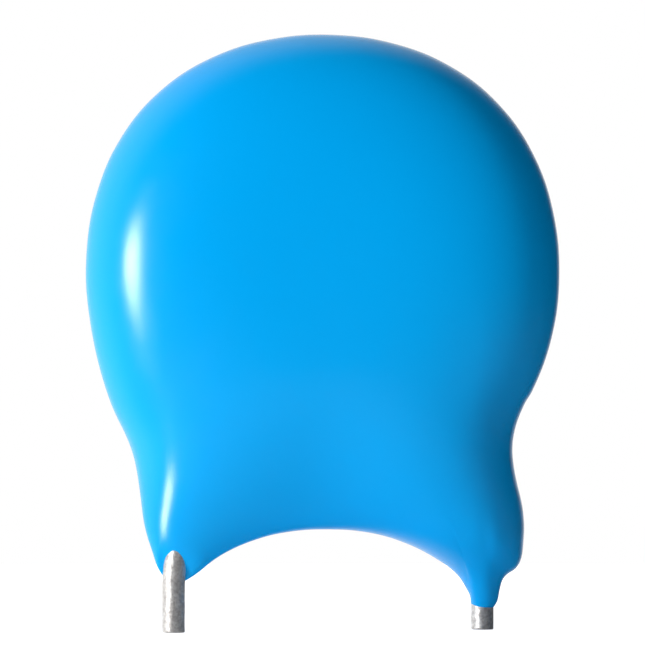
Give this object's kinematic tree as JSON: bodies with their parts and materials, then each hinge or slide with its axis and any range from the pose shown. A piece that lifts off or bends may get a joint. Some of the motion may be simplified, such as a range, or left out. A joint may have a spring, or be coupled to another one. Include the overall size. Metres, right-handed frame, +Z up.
{
  "type": "ceramic disc capacitor",
  "caption": "Round, flat resin-dipped electronic part on two short round wire leads, with a ceramic disc inside for holding a small electric charge.",
  "frame": {"origin": "midway between the two trimmed lead ends, at the level of their cut faces", "axes": "+Z up from the lead ends through the disc, +X from the left lead to the right one as seen from the front, +Y through the thickness from the front to the rear"},
  "size_m": [0.0115, 0.0044, 0.0145],
  "materials": {
    "resin": "gloss",
    "ceramic": "matte",
    "silver": "satin",
    "tinned_wire": "satin",
    "solder": "satin"
  },
  "bodies": {
    "root": {"coating": "resin", "ceramic_disc": "ceramic", "front_electrode": "silver", "rear_electrode": "silver", "front_lead": "tinned_wire", "rear_lead": "tinned_wire", "front_solder": "solder", "rear_solder": "solder"}
  },
  "joints": []
}
